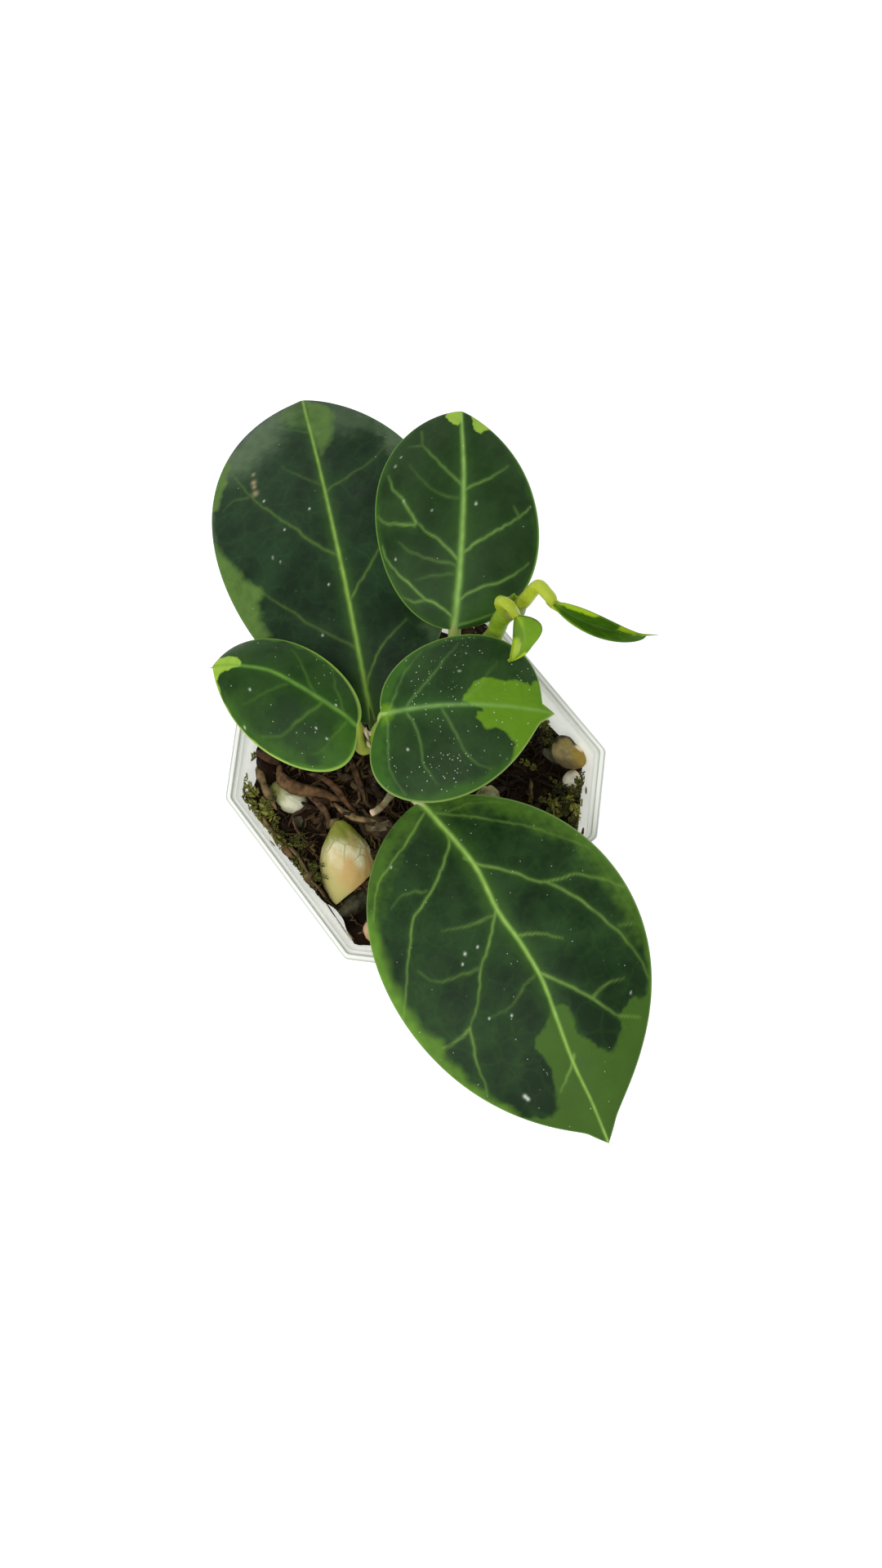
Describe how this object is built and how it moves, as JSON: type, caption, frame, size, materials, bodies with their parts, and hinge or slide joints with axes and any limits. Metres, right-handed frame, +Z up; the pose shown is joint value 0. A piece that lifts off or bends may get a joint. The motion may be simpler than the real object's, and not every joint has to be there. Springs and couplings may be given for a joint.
{
  "type": "potted hoya vine",
  "caption": "Young variegated hoya vine with broad dark leaves on a short stem, rooted in moss and stones in a clear octagonal nursery pot.",
  "frame": {"origin": "centre of the pot's flat underside, on the surface that it stands on", "axes": "+Z up; the pot's flat sides face X and Y; the biggest front leaf points to -Y and the biggest back leaf to +Y"},
  "size_m": [0.0909, 0.17, 0.1106],
  "materials": {
    "clear_plastic": "satin",
    "damp_moss_fibre": "matte",
    "live_moss": "matte",
    "green_stem": "satin",
    "dry_stem": "matte",
    "leaf": "satin",
    "young_leaf": "satin",
    "pale_stone": "matte",
    "dark_stone": "matte",
    "green_stone": "matte",
    "grey_stone": "matte",
    "beige_stone": "matte"
  },
  "bodies": {
    "root": {"pot": "clear_plastic", "growing_medium": "damp_moss_fibre", "moss_left": "live_moss", "moss_right": "live_moss", "teardrop_stone": "pale_stone", "dark_stone": "dark_stone", "green_stone": "green_stone", "grey_stone": "grey_stone", "beige_stone": "beige_stone", "cream_stone": "pale_stone", "round_stone": "grey_stone", "tan_stone": "beige_stone", "vine_stem": "green_stem", "old_stub": "dry_stem", "leaf_back_left": "leaf", "leaf_back_right": "leaf", "leaf_left_small": "leaf", "leaf_centre": "leaf", "leaf_front": "leaf", "young_leaf_hanging": "young_leaf", "young_leaf_pointed": "young_leaf", "shoot_bud": "green_stem"}
  },
  "joints": []
}
